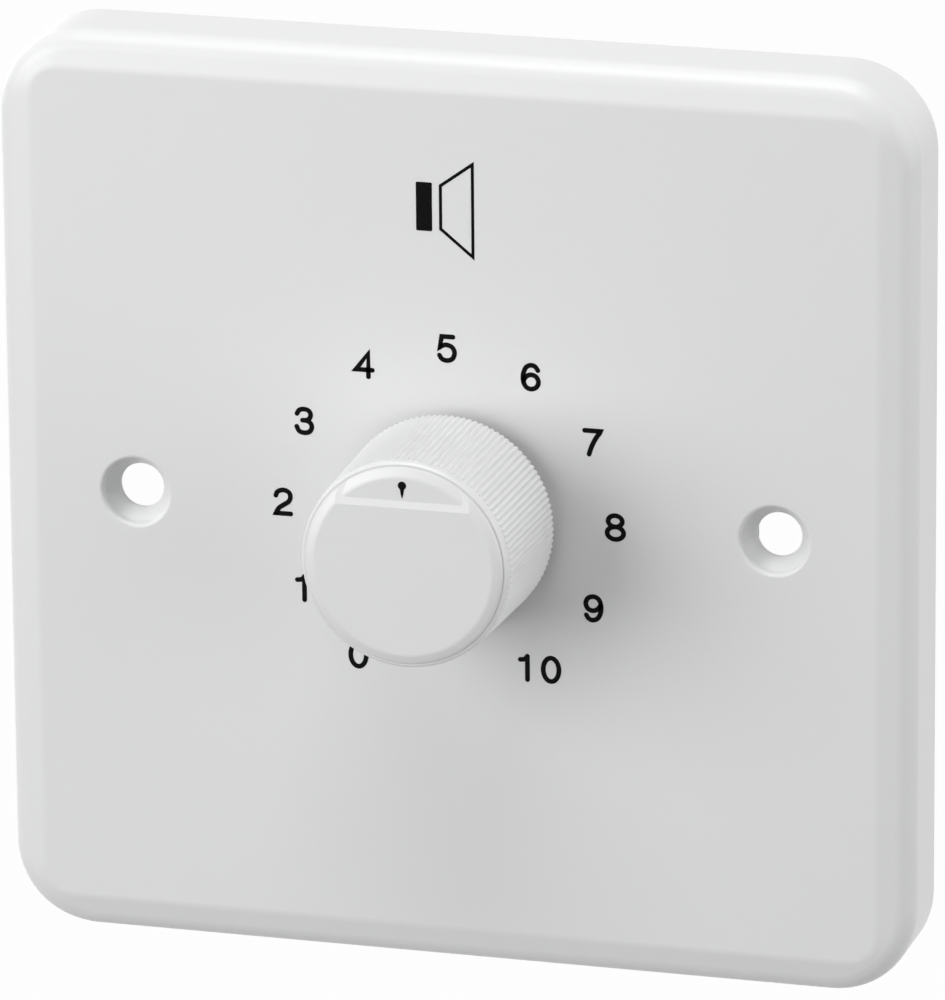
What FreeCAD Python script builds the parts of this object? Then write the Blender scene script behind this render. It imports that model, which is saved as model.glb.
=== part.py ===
import FreeCAD
import Part

import math
import os

from FreeCAD import Vector

# Speaker volume control on a flush wall plate.
# Millimetres and degrees. X points right and Z up as the plate is seen from the front.
# Y points into the wall.
# The wall plane is y = 0 and the knob turns about the Y axis through the origin.
# Angles round that axis count clockwise from the top, as seen from the front.

# Face plate
plate_width = 86.0
plate_height = 86.0
plate_depth = 8.8
plate_corner = 8.0
front_wall = 2.5
side_wall = 2.5
face_corner = 2.7
edge_border = 3.3
bevel_angle = 15.0
edge_radius = 2.2
crease_radius = 2.1
fixing_spacing = 60.3
fixing_hole_radius = 2.1
countersink_radius = 3.15
countersink_land = 0.4
screw_recess_rounding = 0.35
pad_height = 3.0
pad_radius = 11.0
boss_radius = 3.4
boss_inset = 8.0
pilot_depth = 3.8
pilot_clearance = 0.02
tapping_tip_gap = 0.3

# Bracket, folded from sheet steel
sheet = 1.2
bracket_width = 47.0
bracket_height = 58.0
bend_inner_radius = 0.6
tab_reach = 8.0
tab_height = 8.0
arm_relief = 4.6
ear_width = 14.0
ear_end = 3.6
ear_corner = 3.0

# Self-tapping bracket screws
tapping_radius = 1.3
tapping_head_radius = 2.75
tapping_head_height = 1.7
screw_hole_clearance = 0.25

# Rotary switch
positions = 11
position_angle = 30.0
bush_radius = 4.5
bush_front = 3.2
bush_clearance = 0.1
spindle_radius = 3.0
spindle_clearance = 0.04
housing_rim_wall = 0.6
housing_front_wall = 1.8
stop_depth = 1.5
stop_block_half_angle = 17.5
stop_inner_radius = 4.2
stop_clearance = 0.2
spigot_radius = 1.0
spigot_offset = 8.0
spigot_set_back = 0.1
notch_ring_radius = 9.4
notch_radius = 1.4
notch_depth = 0.6
plate_seat_radius = 12.4
contact_ledge = 0.6
crimp_lugs = 3
crimp_thickness = 0.5
crimp_reach = 1.2
crimp_half_angle = 9.0

# What turns inside the switch
rotor_radius = 8.8
rotor_thickness = 4.0
rotor_play = 0.2
drive_radius = 2.6
drive_flat = 1.9
drive_clearance = 0.02
pivot_radius = 1.5
ball_radius = 1.25
ball_crest_clearance = 0.15
ball_bore_clearance = 0.1
spring_outer_radius = 1.15
spring_inner_radius = 0.75
spring_pocket_radius = 4.0
carrier_radius = 9.1
carrier_thickness = 1.2
wiper_thickness = 0.3
wiper_width = 3.0
wiper_hub_radius = 5.0
wiper_tip_radius = 0.7
wiper_tip_rise = 0.12
stop_lug_inner_radius = 4.5
stop_lug_outer_radius = 8.0

# Contacts
stud_count = 12
stud_first_angle = 15.0
stud_radius = 0.45
stud_head_radius = 1.1
stud_head_height = 0.3
stud_wall_gap = 0.2
contact_gap = 0.08
ring_inner_radius = 3.4
ring_outer_radius = 5.0
contact_plate_thickness = 1.6
contact_plate_clearance = 0.05
pivot_clearance = 0.05

# Fasteners of the bush and the spindle's retaining ring
washer_thickness = 0.5
washer_radius = 7.2
washer_teeth = 8
washer_tooth_width = 1.2
washer_tooth_length = 1.2
bush_nut_flats = 12.0
bush_nut_thickness = 2.0
thread_clearance = 0.02
ring_groove_depth = 0.6
ring_thickness = 0.5
ring_play = 0.05
ring_radius = 4.2
ring_opening = 3.4

# Knob, with depths counted forward from the plate's front
knob_gap = 1.5
knob_base_radius = 10.05
knob_rim_radius = 9.68
knob_length = 13.8
knurl_teeth = 112
knurl_depth = 0.18
rim_length = 0.8
rim_step = 0.08
rim_chamfer = 0.2
knob_recess_radius = 7.9
knob_recess_depth = 7.9
hub_radius = 6.3
hub_set_back = 3.7
front_cavity_radius = 7.4
front_cavity_depth = 4.7

# Knob cap
cap_radius = 9.2
cap_face_radius = 8.16
cap_crease_radius = 0.9
cap_bevel_angle = 24.0
cap_edge_width = 0.3
cap_seam = 0.04
cap_height = 0.58
cap_plate = 1.5
cap_skirt_wall = 1.15
cap_fit = 0.05
segment_chord = 5.5
segment_slope_width = 0.65
segment_depth = 0.17

# Collet that grips the spindle
collet_radius = 4.05
collet_cone_radius = 5.2
collet_cone_length = 2.0
collet_rear = 4.3
collet_length = 8.9
collet_slots = 3
collet_slot_width = 0.6
collet_slot_length = 6.0
collet_grip_clearance = 0.01
collet_fit = 0.05
collet_nut_flats = 9.0
collet_nut_thickness = 2.2
spindle_short_of_collet = 0.3

# Circuit board and its screws
board_gap = 1.8
board_side_margin = 0.2
board_end_reach = 1.0
board_thickness = 1.6
board_corner = 1.5
board_screw_inset = 4.0
board_screw_radius = 1.5
board_screw_length = 5.0
board_head_radius = 2.75
board_head_height = 2.0
lead_hole_clearance = 0.1
lead_stub = 0.9
front_stub = 1.0
solder_height = 0.7
solder_spread = 0.5

# Screw recesses
cross_width = 0.7
cross_length = 3.0
cross_depth = 1.1
slot_width = 0.6
slot_depth = 0.8

# Terminal block and its rising clamps
poles = 4
pole_pitch = 5.08
terminal_end_margin = 0.7
terminal_depth = 10.0
terminal_height = 13.6
terminal_edge_gap = 0.3
cavity_width = 4.3
cavity_length = 6.2
cavity_floor = 1.3
entry_wall = 1.4
wire_entry_width = 3.4
wire_entry_floor = 2.2
ledge_thickness = 0.6
well_depth = 2.6
well_radius = 2.05
clamp_screw_radius = 1.25
clamp_head_radius = 1.95
clamp_head_height = 1.85
clamp_head_clearance = 0.05
cage_side_clearance = 0.15
cage_wall = 0.6
cage_floor = 1.0
cage_top = 1.2
cage_length = 4.2
cage_lift = 0.2
clamp_thread_clearance = 0.05
bar_width = 2.4
bar_thickness = 0.8
bar_clearance = 0.3
wire_room = 2.9
tail_width = 1.2
tail_thickness = 0.8
tail_clearance = 0.05

# Autotransformer
transformer_z = 14.0
tongue_width = 10.0
window_width = 5.0
window_length = 15.0
stack_height = 15.5
coil_lift = 1.6
bobbin_wall = 0.8
bobbin_clearance = 0.1
window_clearance = 0.2
flange_thickness = 0.8
flange_overhang = 4.9
winding_set_back = 0.5
tape_thickness = 0.3
winding_corner = 1.5
rail_width = 17.2
rail_foot = 3.2
rail_height = 4.2
rail_undercut = 1.8
transformer_pins_per_rail = 4
transformer_pin_pitch = 5.0
transformer_pin_radius = 0.4
transformer_pin_spacing = 20.0
transformer_pin_depth = 2.4
frame_sheet = 0.7
frame_lip = 4.0
frame_leg_width = 3.0
frame_leg_spacing = 9.0
frame_slot_clearance = 0.1

# Levels along Y, from the plate's front to the board
front_y = -plate_depth
wall_back_y = front_y + front_wall
web_front_y = wall_back_y + pad_height
switch_front_y = web_front_y + sheet
room_front_y = switch_front_y + housing_front_wall
housing_radius = plate_seat_radius + housing_rim_wall
contact_room_radius = plate_seat_radius - contact_ledge
stud_circle_radius = contact_room_radius - stud_head_radius - stud_wall_gap
rotor_front_y = room_front_y + stop_depth + rotor_play
rotor_back_y = rotor_front_y + rotor_thickness
carrier_back_y = rotor_back_y + carrier_thickness
wiper_back_y = carrier_back_y + wiper_thickness
stud_front_y = wiper_back_y + wiper_tip_rise + contact_gap
contact_plate_y = stud_front_y + stud_head_height
housing_back_y = contact_plate_y + contact_plate_thickness
board_front_y = housing_back_y + board_gap
board_back_y = board_front_y + board_thickness

washer_front_y = front_y - washer_thickness
nut_front_y = washer_front_y - bush_nut_thickness
bush_end_y = front_y - bush_front
knob_back_y = front_y - knob_gap
knob_front_y = knob_back_y - knob_length
rim_back_y = knob_front_y + rim_length
cap_back_y = knob_front_y - cap_seam
cap_front_y = cap_back_y - cap_height
hub_back_y = knob_back_y - hub_set_back
cavity_floor_y = knob_front_y + front_cavity_depth
collet_back_y = front_y - collet_rear
collet_front_y = collet_back_y - collet_length
collet_seat_y = collet_back_y - collet_cone_length
spindle_front_y = collet_front_y + spindle_short_of_collet

fixing_x = fixing_spacing / 2
boss_z = plate_height / 2 - boss_inset
tab_inner_x = bracket_width / 2 - tab_reach
board_width = bracket_width - 2 * board_side_margin
board_height = bracket_height + 2 * board_end_reach
board_screw_x = bracket_width / 2 - board_screw_inset
board_screw_z = bracket_height / 2 - board_screw_inset
pole_places = [(index - (poles - 1) / 2) * pole_pitch for index in range(poles)]

# Levels of the terminal block, from the board outwards
terminal_back_y = board_back_y + terminal_height
terminal_low_z = -board_height / 2 + terminal_edge_gap
terminal_high_z = terminal_low_z + terminal_depth
cavity_low_z = terminal_low_z + entry_wall
cavity_high_z = cavity_low_z + cavity_length
cavity_front_y = board_back_y + cavity_floor
well_floor_y = terminal_back_y - well_depth
cavity_back_y = well_floor_y - ledge_thickness
cage_front_y = cavity_front_y + cage_lift
cage_floor_y = cage_front_y + cage_floor
bar_front_y = cage_floor_y + wire_room
bar_back_y = bar_front_y + bar_thickness
cage_top_y = bar_back_y + bar_clearance
cage_back_y = cage_top_y + cage_top
cage_mid_z = (cavity_low_z + cavity_high_z) / 2

# Levels of the transformer
flange_front_y = board_back_y + coil_lift
stack_front_y = flange_front_y + flange_overhang
stack_back_y = stack_front_y + stack_height
flange_back_y = stack_back_y + flange_overhang
yoke_width = tongue_width / 2
core_width = tongue_width + 2 * window_width + 2 * yoke_width
core_low_z = transformer_z - window_length / 2 - yoke_width
core_high_z = transformer_z + window_length / 2 + yoke_width
coil_low_z = transformer_z - window_length / 2 + window_clearance
coil_high_z = transformer_z + window_length / 2 - window_clearance
frame_leg_x = core_width / 2 + frame_sheet / 2
frame_leg_places = [transformer_z + side * frame_leg_spacing / 2 for side in (-1, 1)]

# A length that is longer than any cut
beyond = 1.0


def polar(radius, angle):
    turn = math.radians(angle)
    return radius * math.sin(turn), radius * math.cos(turn)


def rod(radius, y0, y1, x=0.0, z=0.0):
    return Part.makeCylinder(radius, y1 - y0, Vector(x, y0, z), Vector(0, 1, 0))


def tube(outer, inner, y0, y1, x=0.0, z=0.0):
    return rod(outer, y0, y1, x, z).cut(rod(inner, y0 - beyond, y1 + beyond, x, z))


def taper(radius0, radius1, y0, y1, x=0.0, z=0.0):
    return Part.makeCone(radius0, radius1, y1 - y0, Vector(x, y0, z), Vector(0, 1, 0))


def block(x0, x1, y0, y1, z0, z1):
    return Part.makeBox(x1 - x0, y1 - y0, z1 - z0, Vector(x0, y0, z0))


def prism(corners, travel):
    wire = Part.makePolygon(corners + [corners[0]])
    return Part.Face(wire).extrude(travel)


def prism_y(outline, y0, y1):
    return prism([Vector(x, y0, z) for x, z in outline], Vector(0, y1 - y0, 0))


def prism_z(outline, z0, z1):
    return prism([Vector(x, y, z0) for x, y in outline], Vector(0, 0, z1 - z0))


def prism_x(outline, x0, x1):
    return prism([Vector(x0, y, z) for y, z in outline], Vector(x1 - x0, 0, 0))


def spun(outline):
    wire = Part.makePolygon([Vector(r, y, 0) for r, y in outline + [outline[0]]])
    return Part.Face(wire).revolve(Vector(0, 0, 0), Vector(0, 1, 0), 360)


def wedge(inner, outer, half_angle, centre_angle, y0, y1):
    reach = outer / math.cos(math.radians(half_angle)) + beyond
    corners = [(0.0, 0.0)]
    corners += [polar(reach, centre_angle + side * half_angle) for side in (-1, 1)]
    return tube(outer, inner, y0, y1).common(prism_y(corners, y0, y1))


def rounded_slab(width, height, corner, y0, y1, x=0.0, z=0.0):
    slab = block(x - width / 2, x + width / 2, y0, y1, z - height / 2, z + height / 2)
    upright = [edge for edge in slab.Edges if abs(edge.tangentAt(edge.FirstParameter).y) > 0.9]
    return slab.makeFillet(corner, upright)


def hexagon(flats, y0, y1):
    corner = flats / math.sqrt(3)
    chamfer = corner - flats / 2
    bar = prism_y([polar(corner, 60.0 * index) for index in range(6)], y0, y1)
    turned = spun([
        (0.0, y0),
        (flats / 2, y0),
        (corner, y0 + chamfer / 2),
        (corner, y1 - chamfer / 2),
        (flats / 2, y1),
        (0.0, y1),
    ])
    return bar.common(turned)


def joined(shapes):
    first, rest = shapes[0], shapes[1:]
    return first.fuse(rest).removeSplitter() if rest else first


def without(shape, tools):
    return shape.cut(tools)


def cross_recess(top_y, sign, x, z):
    low, high = sorted((top_y, top_y + sign * cross_depth))
    long, wide = cross_length / 2, cross_width / 2
    across = block(x - long, x + long, low, high, z - wide, z + wide)
    upward = block(x - wide, x + wide, low, high, z - long, z + long)
    return across.fuse(upward)


def drive_shape(y0, y1, clearance=0.0):
    bar = rod(drive_radius + clearance, y0, y1)
    side = drive_radius + beyond
    return bar.common(block(-side, side, y0, y1, -side, drive_flat + clearance))


# Face plate

def bevelled_slab():
    half_x = plate_width / 2 - edge_border - face_corner
    half_z = plate_height / 2 - edge_border - face_corner
    reach = edge_border + beyond
    drop = reach * math.tan(math.radians(bevel_angle))
    centres = [
        Vector(half_x, 0, half_z),
        Vector(-half_x, 0, half_z),
        Vector(-half_x, 0, -half_z),
        Vector(half_x, 0, -half_z),
    ]
    outline = [
        Vector(0, front_y, 0),
        Vector(face_corner, front_y, 0),
        Vector(face_corner + reach, front_y + drop, 0),
        Vector(face_corner + reach, 0, 0),
        Vector(0, 0, 0),
    ]
    pieces = [block(-half_x, half_x, front_y, 0, -half_z, half_z)]
    for index, centre in enumerate(centres):
        section = Part.Face(Part.makePolygon(outline + [outline[0]]))
        section.rotate(Vector(0, 0, 0), Vector(0, 1, 0), -90 * index)
        section.translate(centre)
        pieces.append(section.revolve(centre, Vector(0, 1, 0), -90))
        pieces.append(section.extrude(centres[index - 1] - centre))
    return joined(pieces)


def on_side_wall(vertex):
    x = max(abs(vertex.X) - plate_width / 2 + plate_corner, 0)
    z = max(abs(vertex.Z) - plate_height / 2 + plate_corner, 0)
    return abs(math.hypot(x, z) - plate_corner) < 0.001 and vertex.Y < -0.001


def plate_outside():
    slab = rounded_slab(plate_width, plate_height, plate_corner, front_y, 0)
    solid = slab.common(bevelled_slab()).removeSplitter()
    solid = solid.makeFillet(edge_radius, [
        edge for edge in solid.Edges if all(on_side_wall(v) for v in edge.Vertexes)
    ])
    return solid.makeFillet(crease_radius, [
        edge for edge in solid.Edges if all(abs(v.Y - front_y) < 0.001 for v in edge.Vertexes)
    ])


def screw_recess(x):
    seat_y = wall_back_y - countersink_land
    shoulder_y = seat_y - (countersink_radius - fixing_hole_radius)
    flare = countersink_radius + screw_recess_rounding
    hollow = rod(flare, front_y - beyond, front_y + screw_recess_rounding, x)
    ring = Part.makeTorus(flare, screw_recess_rounding, Vector(x, front_y + screw_recess_rounding, 0),
                          Vector(0, 1, 0))
    return [
        hollow.cut(ring),
        rod(countersink_radius, front_y, shoulder_y, x),
        taper(countersink_radius, fixing_hole_radius, shoulder_y, seat_y, x),
        rod(fixing_hole_radius, front_y, wall_back_y + beyond, x),
    ]


def face_plate():
    hollow = rounded_slab(plate_width - 2 * side_wall, plate_height - 2 * side_wall,
                          plate_corner - side_wall, wall_back_y, beyond)
    shell = plate_outside().cut(hollow)
    posts = [rod(pad_radius, wall_back_y, web_front_y)]
    posts += [rod(boss_radius, wall_back_y, web_front_y, 0, side * boss_z) for side in (-1, 1)]
    holes = [rod(bush_radius + bush_clearance, front_y - beyond, web_front_y + beyond)]
    for side in (-1, 1):
        holes += screw_recess(side * fixing_x)
        holes.append(rod(tapping_radius + pilot_clearance, web_front_y - pilot_depth, web_front_y + beyond,
                         0, side * boss_z))
    return without(joined([shell] + posts), holes)


# Bracket

def rounded_fold(solid):
    half = bracket_width / 2
    tab_front = board_front_y - sheet
    outer = bend_inner_radius + sheet
    radii = {
        (half, web_front_y): outer,
        (half, board_front_y): outer,
        (half - sheet, switch_front_y): bend_inner_radius,
        (half - sheet, tab_front): bend_inner_radius,
    }
    for (x, y), radius in radii.items():
        edges = [
            edge for edge in solid.Edges
            if abs(edge.tangentAt(edge.FirstParameter).z) > 0.9
            and all(abs(abs(v.X) - x) < 0.001 and abs(v.Y - y) < 0.001 for v in edge.Vertexes)
        ]
        solid = solid.makeFillet(radius, edges)
    return solid


def bracket():
    half = bracket_width / 2
    half_z = bracket_height / 2
    tab_front = board_front_y - sheet
    fold = rounded_fold(prism_z([
        (-tab_inner_x, tab_front),
        (-tab_inner_x, board_front_y),
        (-half, board_front_y),
        (-half, web_front_y),
        (half, web_front_y),
        (half, board_front_y),
        (tab_inner_x, board_front_y),
        (tab_inner_x, tab_front),
        (half - sheet, tab_front),
        (half - sheet, switch_front_y),
        (-half + sheet, switch_front_y),
        (-half + sheet, tab_front),
    ], -half_z, half_z))
    ears = rounded_slab(ear_width, 2 * (boss_z + ear_end), ear_corner, web_front_y, switch_front_y)
    relief_z = half_z - tab_height
    cuts = [
        rod(bush_radius + bush_clearance, web_front_y - beyond, switch_front_y + beyond),
        rod(spigot_radius + bush_clearance, web_front_y - beyond, switch_front_y + beyond,
            0, spigot_offset),
    ]
    for side in (-1, 1):
        low, high = sorted((side * (tab_inner_x - beyond), side * (half + beyond)))
        cuts.append(block(low, high, board_front_y - arm_relief, board_front_y + beyond,
                          -relief_z, relief_z))
        cuts.append(rod(tapping_radius + screw_hole_clearance, web_front_y - beyond,
                        switch_front_y + beyond, 0, side * boss_z))
    for x, z in board_screw_places():
        cuts.append(rod(board_screw_radius + thread_clearance, tab_front - beyond,
                        board_front_y + beyond, x, z))
    return without(joined([fold, ears]), cuts)


def bracket_screws():
    screws = []
    for side in (-1, 1):
        z = side * boss_z
        head_back_y = switch_front_y + tapping_head_height
        shank = rod(tapping_radius, web_front_y - pilot_depth + tapping_tip_gap, switch_front_y, 0, z)
        head = rod(tapping_head_radius, switch_front_y, head_back_y, 0, z)
        screws.append(joined([shank, head]).cut(cross_recess(head_back_y, -1, 0, z)))
    return Part.makeCompound(screws)


# Rotary switch

def switch_housing():
    body = rod(housing_radius, switch_front_y, housing_back_y)
    bush = rod(bush_radius, bush_end_y, switch_front_y)
    spigot = rod(spigot_radius, web_front_y + spigot_set_back, switch_front_y, 0, spigot_offset)
    notch_front_y = room_front_y + stop_depth
    notch_back_y = rotor_back_y + rotor_play
    rooms = [
        rod(notch_ring_radius, room_front_y, notch_back_y),
        rod(contact_room_radius, notch_back_y, contact_plate_y),
        rod(plate_seat_radius, contact_plate_y, housing_back_y + beyond),
        rod(spindle_radius + spindle_clearance, bush_end_y - beyond, room_front_y + beyond),
    ]
    for index in range(int(round(360 / position_angle))):
        x, z = polar(notch_ring_radius + notch_depth - notch_radius, index * position_angle)
        rooms.append(rod(notch_radius, notch_front_y, notch_back_y, x, z))
    shell = without(joined([body, bush, spigot]), rooms)
    stop = wedge(stop_inner_radius, notch_ring_radius + notch_depth / 2, stop_block_half_angle, 180.0,
                 room_front_y, notch_front_y)
    lugs = [
        wedge(plate_seat_radius - crimp_reach, housing_radius, crimp_half_angle, index * 360.0 / crimp_lugs,
              housing_back_y, housing_back_y + crimp_thickness)
        for index in range(crimp_lugs)
    ]
    return joined([shell, stop] + lugs)


def spindle():
    shoulder_y = rotor_front_y - ring_play
    shaft = rod(spindle_radius, spindle_front_y, shoulder_y)
    drive = drive_shape(shoulder_y, wiper_back_y)
    pivot = rod(pivot_radius, wiper_back_y, housing_back_y - contact_plate_clearance)
    groove = tube(spindle_radius + beyond, spindle_radius - ring_groove_depth,
                  bush_end_y - ring_thickness - 2 * ring_play, bush_end_y)
    nose = spun([
        (spindle_radius - spindle_short_of_collet, spindle_front_y),
        (spindle_radius + beyond, spindle_front_y - beyond),
        (spindle_radius + beyond, spindle_front_y + spindle_short_of_collet),
        (spindle_radius, spindle_front_y + spindle_short_of_collet),
    ])
    return without(joined([shaft, drive, pivot]), [groove, nose])


def retaining_ring():
    y0 = bush_end_y - ring_thickness - ring_play
    y1 = bush_end_y - ring_play
    ring = tube(ring_radius, spindle_radius - ring_groove_depth + ring_play, y0, y1)
    mouth = block(-ring_opening / 2, ring_opening / 2, y0 - beyond, y1 + beyond, -ring_radius - beyond, 0)
    return ring.cut(mouth)


def detent_rotor():
    disc = rod(rotor_radius, rotor_front_y, rotor_back_y)
    half_travel = (positions - 1) * position_angle / 2
    lug_half_angle = 180.0 - stop_block_half_angle - half_travel - stop_clearance
    lug = wedge(stop_lug_inner_radius, stop_lug_outer_radius, lug_half_angle, 0.0,
                room_front_y + rotor_play, rotor_front_y)
    middle_y = (rotor_front_y + rotor_back_y) / 2
    bores = [drive_shape(rotor_front_y - stop_depth - beyond, rotor_back_y + beyond, drive_clearance)]
    for side in (-1, 1):
        start = Vector(0, middle_y, side * spring_pocket_radius)
        bores.append(Part.makeCylinder(ball_radius + ball_bore_clearance, rotor_radius, start,
                                       Vector(0, 0, side)))
    return without(joined([disc, lug]), bores)


def ball_place():
    return notch_ring_radius - ball_crest_clearance - ball_radius


def detent_springs():
    middle_y = (rotor_front_y + rotor_back_y) / 2
    seat = math.sqrt(ball_radius ** 2 - spring_inner_radius ** 2)
    length = ball_place() - seat - spring_pocket_radius
    springs = []
    for side in (-1, 1):
        start = Vector(0, middle_y, side * spring_pocket_radius)
        along = Vector(0, 0, side)
        coil = Part.makeCylinder(spring_outer_radius, length, start, along)
        springs.append(coil.cut(Part.makeCylinder(spring_inner_radius, length, start, along)))
    return Part.makeCompound(springs)


def detent_balls():
    middle_y = (rotor_front_y + rotor_back_y) / 2
    return Part.makeCompound([
        Part.makeSphere(ball_radius, Vector(0, middle_y, side * ball_place())) for side in (-1, 1)
    ])


def wiper_carrier():
    disc = rod(carrier_radius, rotor_back_y, carrier_back_y)
    return disc.cut(drive_shape(rotor_back_y - beyond, carrier_back_y + beyond, drive_clearance))


def wiper():
    hub = rod(wiper_hub_radius, carrier_back_y, wiper_back_y)
    reach = stud_circle_radius + wiper_tip_radius
    arm = block(-wiper_width / 2, wiper_width / 2, carrier_back_y, wiper_back_y, 0, reach)
    ring_place = (ring_inner_radius + ring_outer_radius) / 2
    tips = [
        taper(wiper_tip_radius, wiper_tip_radius / 2, wiper_back_y, wiper_back_y + wiper_tip_rise, 0, z)
        for z in (stud_circle_radius, -ring_place)
    ]
    blade = joined([hub, arm] + tips)
    blade.rotate(Vector(0, 0, 0), Vector(0, 1, 0), stud_first_angle)
    return blade.cut(drive_shape(carrier_back_y - beyond, wiper_back_y + beyond, drive_clearance))


def stud_places():
    return [
        polar(stud_circle_radius, stud_first_angle + index * 360.0 / stud_count)
        for index in range(stud_count)
    ]


def common_place():
    return polar((ring_inner_radius + ring_outer_radius) / 2, 180.0)


def contact_plate():
    disc = rod(plate_seat_radius - contact_plate_clearance, contact_plate_y, housing_back_y)
    holes = [rod(pivot_radius + pivot_clearance, contact_plate_y - beyond, housing_back_y + beyond)]
    for x, z in stud_places() + [common_place()]:
        holes.append(rod(stud_radius, contact_plate_y - beyond, housing_back_y + beyond, x, z))
    return without(disc, holes)


def contact_studs():
    tip_y = board_back_y + lead_stub
    studs = []
    for x, z in stud_places():
        head = rod(stud_head_radius, stud_front_y, contact_plate_y, x, z)
        studs.append(joined([head, rod(stud_radius, contact_plate_y, tip_y, x, z)]))
    x, z = common_place()
    ring = tube(ring_outer_radius, ring_inner_radius, stud_front_y, contact_plate_y)
    studs.append(joined([ring, rod(stud_radius, contact_plate_y, tip_y, x, z)]))
    return Part.makeCompound(studs)


def bush_washer():
    ring = tube(washer_radius, bush_radius + washer_tooth_length, washer_front_y, front_y)
    teeth = []
    for index in range(washer_teeth):
        tooth = block(-washer_tooth_width / 2, washer_tooth_width / 2, washer_front_y, front_y,
                      bush_radius + bush_clearance, bush_radius + 2 * washer_tooth_length)
        tooth.rotate(Vector(0, 0, 0), Vector(0, 1, 0), index * 360.0 / washer_teeth)
        teeth.append(tooth)
    return joined([ring] + teeth)


def bush_nut():
    bore = rod(bush_radius + thread_clearance, nut_front_y - beyond, washer_front_y + beyond)
    return hexagon(bush_nut_flats, nut_front_y, washer_front_y).cut(bore)


# Knob

def skirt_radius(y):
    share = (knob_back_y - y) / knob_length
    return knob_base_radius + (knob_rim_radius - knob_base_radius) * share


def knurl_wire(y):
    crest = skirt_radius(y)
    root = crest * (1 - knurl_depth / knob_base_radius)
    step = 360.0 / knurl_teeth
    corners = []
    for index in range(knurl_teeth):
        corners.append(polar(crest, index * step))
        corners.append(polar(root, (index + 0.5) * step))
    points = [Vector(x, y, z) for x, z in corners]
    return Part.makePolygon(points + [points[0]])


def knob_body():
    skirt = Part.makeLoft([knurl_wire(knob_back_y), knurl_wire(rim_back_y)], True, True)
    rim_back = skirt_radius(rim_back_y) - rim_step
    rim_front = skirt_radius(knob_front_y) - rim_step
    rim = spun([
        (0.0, rim_back_y),
        (rim_back, rim_back_y),
        (rim_front, knob_front_y + rim_chamfer),
        (rim_front - rim_chamfer, knob_front_y),
        (0.0, knob_front_y),
    ])
    recess_floor_y = knob_back_y - knob_recess_depth
    recess = rod(knob_recess_radius, recess_floor_y, knob_back_y + beyond)
    hub = rod(hub_radius, recess_floor_y, hub_back_y)
    hollows = [
        rod(front_cavity_radius, knob_front_y - beyond, cavity_floor_y),
        rod(collet_radius + collet_fit, knob_front_y - beyond, hub_back_y + beyond),
        collet_cone(collet_fit),
        rod(collet_cone_radius + collet_fit, collet_back_y, hub_back_y + beyond),
    ]
    return without(joined([joined([skirt, rim]).cut(recess), hub]), hollows)


def collet_cone(clearance=0.0):
    return taper(collet_radius + clearance, collet_cone_radius + clearance,
                 collet_seat_y, collet_back_y)


def knob_collet():
    barrel = rod(collet_radius, collet_front_y, collet_seat_y)
    bore = rod(spindle_radius + collet_grip_clearance, collet_front_y - beyond, collet_back_y + beyond)
    slots = []
    for index in range(collet_slots):
        slot = block(-collet_slot_width / 2, collet_slot_width / 2, collet_back_y - collet_slot_length,
                     collet_back_y + beyond, 0, collet_cone_radius + beyond)
        slot.rotate(Vector(0, 0, 0), Vector(0, 1, 0), index * 360.0 / collet_slots)
        slots.append(slot)
    return without(joined([barrel, collet_cone()]), [bore] + slots)


def collet_nut():
    y0 = cavity_floor_y - collet_nut_thickness
    bore = rod(collet_radius + thread_clearance, y0 - beyond, cavity_floor_y + beyond)
    return hexagon(collet_nut_flats, y0, cavity_floor_y).cut(bore)


def cap_head(set_back):
    front = cap_front_y + set_back
    angle = math.radians(cap_bevel_angle)

    def crease_point(turned):
        return Vector(cap_face_radius + cap_crease_radius * math.sin(turned),
                      front + cap_crease_radius * (1 - math.cos(turned)), 0)

    face_end = crease_point(0)
    bevel_start = crease_point(angle)

    def bevel_point(radius):
        return Vector(radius, bevel_start.y + (radius - bevel_start.x) * math.tan(angle), 0)

    bevel_end = bevel_point(cap_radius - cap_edge_width)
    foot = Vector(cap_radius, cap_back_y, 0)
    rounding = Part.BezierCurve()
    rounding.setPoles([bevel_end, bevel_point(cap_radius), foot])
    edges = [
        Part.makeLine(Vector(0, front, 0), face_end),
        Part.Arc(face_end, crease_point(angle / 2), bevel_start).toShape(),
        Part.makeLine(bevel_start, bevel_end),
        rounding.toShape(),
        Part.makeLine(foot, Vector(0, cap_back_y, 0)),
        Part.makeLine(Vector(0, cap_back_y, 0), Vector(0, front, 0)),
    ]
    return Part.Face(Part.Wire(edges)).revolve(Vector(0, 0, 0), Vector(0, 1, 0), 360)


def knob_cap():
    plug_radius = front_cavity_radius - cap_fit
    plug = rod(plug_radius, cap_back_y, cavity_floor_y)
    hollow = rod(plug_radius - cap_skirt_wall, cap_front_y + cap_plate, cavity_floor_y + beyond)
    side = cap_radius + beyond
    slope_foot = segment_chord + segment_slope_width * cap_height / segment_depth
    above = prism_x([
        (cap_front_y - segment_depth, segment_chord - segment_slope_width),
        (cap_back_y, slope_foot),
        (cap_back_y, side),
        (cap_front_y - segment_depth, side),
    ], -side, side)
    segment = above.cut(cap_head(segment_depth))
    return without(joined([cap_head(0), plug]), [hollow, segment])


# Circuit board

def board_screw_places():
    return [(sx * board_screw_x, sz * board_screw_z) for sx in (-1, 1) for sz in (-1, 1)]


def transformer_pin_places():
    half = (transformer_pins_per_rail - 1) / 2
    return [
        ((index - half) * transformer_pin_pitch, transformer_z + side * transformer_pin_spacing / 2)
        for side in (-1, 1) for index in range(transformer_pins_per_rail)
    ]


def tail_z():
    return cavity_high_z + tail_clearance + tail_thickness / 2


def tail_hole_radius():
    return math.hypot(tail_width, tail_thickness) / 2 + lead_hole_clearance


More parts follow.
